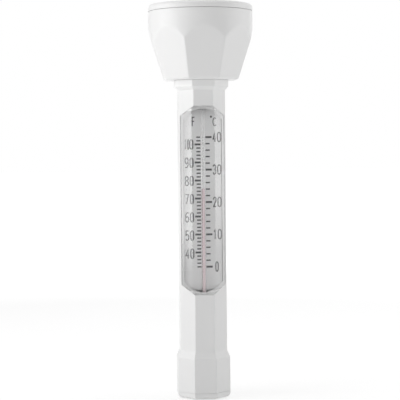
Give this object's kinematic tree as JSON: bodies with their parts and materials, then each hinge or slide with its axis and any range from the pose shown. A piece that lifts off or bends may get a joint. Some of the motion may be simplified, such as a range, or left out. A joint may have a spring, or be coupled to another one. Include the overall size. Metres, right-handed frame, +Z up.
{
  "type": "floating thermometer",
  "caption": "Floating pond and pool thermometer: faceted funnel float head with a lid, octagonal sleeve with a clear window on a glass stem and scale, weighted foot.",
  "frame": {"origin": "centre of the flat underside of the foot", "axes": "+Z up along the sleeve to the lid, -Y out through the window, +X to the right of a reader facing the scale"},
  "size_m": [0.055, 0.055, 0.207],
  "materials": {
    "white_plastic": "satin-gloss moulded white plastic",
    "clear_plastic": "clear moulded plastic",
    "scale_white": "matt white plate with a printed scale",
    "inner_plastic": "plain moulded plastic",
    "black_rubber": "matt black rubber",
    "steel": "turned steel",
    "glass": "clear drawn glass",
    "red_spirit": "red dyed spirit"
  },
  "bodies": {
    "float": {"float_lid": "white_plastic", "lid_seal": "black_rubber", "float_head": "white_plastic", "neck_gasket": "black_rubber", "neck_lock_ring": "inner_plastic", "body_sleeve": "white_plastic", "window_lens": "clear_plastic", "scale_plate": "scale_white", "glass_stem": "glass", "bulb_spirit": "red_spirit", "stem_clip_upper": "inner_plastic", "stem_clip_lower": "inner_plastic", "stem_cap": "black_rubber", "bulb_bush": "black_rubber", "upper_carrier": "inner_plastic", "lower_carrier": "inner_plastic", "ballast_weight": "steel", "foot_cap": "white_plastic", "foot_seal": "black_rubber"},
    "spirit_upper": {"spirit_thread_upper": "red_spirit"},
    "spirit_lower": {"spirit_thread_lower": "red_spirit"}
  },
  "joints": [
    {"name": "spirit_rise", "type": "slide", "parent": "float", "child": "spirit_upper", "axis": [0, 0, 1], "range_m": [-0.0413, 0.0269]},
    {"name": "spirit_follow", "type": "slide", "parent": "float", "child": "spirit_lower", "axis": [0, 0, 1], "range_m": [-0.0125, 0.0082]}
  ],
  "couplings": [
    {"joint": "spirit_follow", "follows": "spirit_rise", "ratio": 0.3}
  ]
}
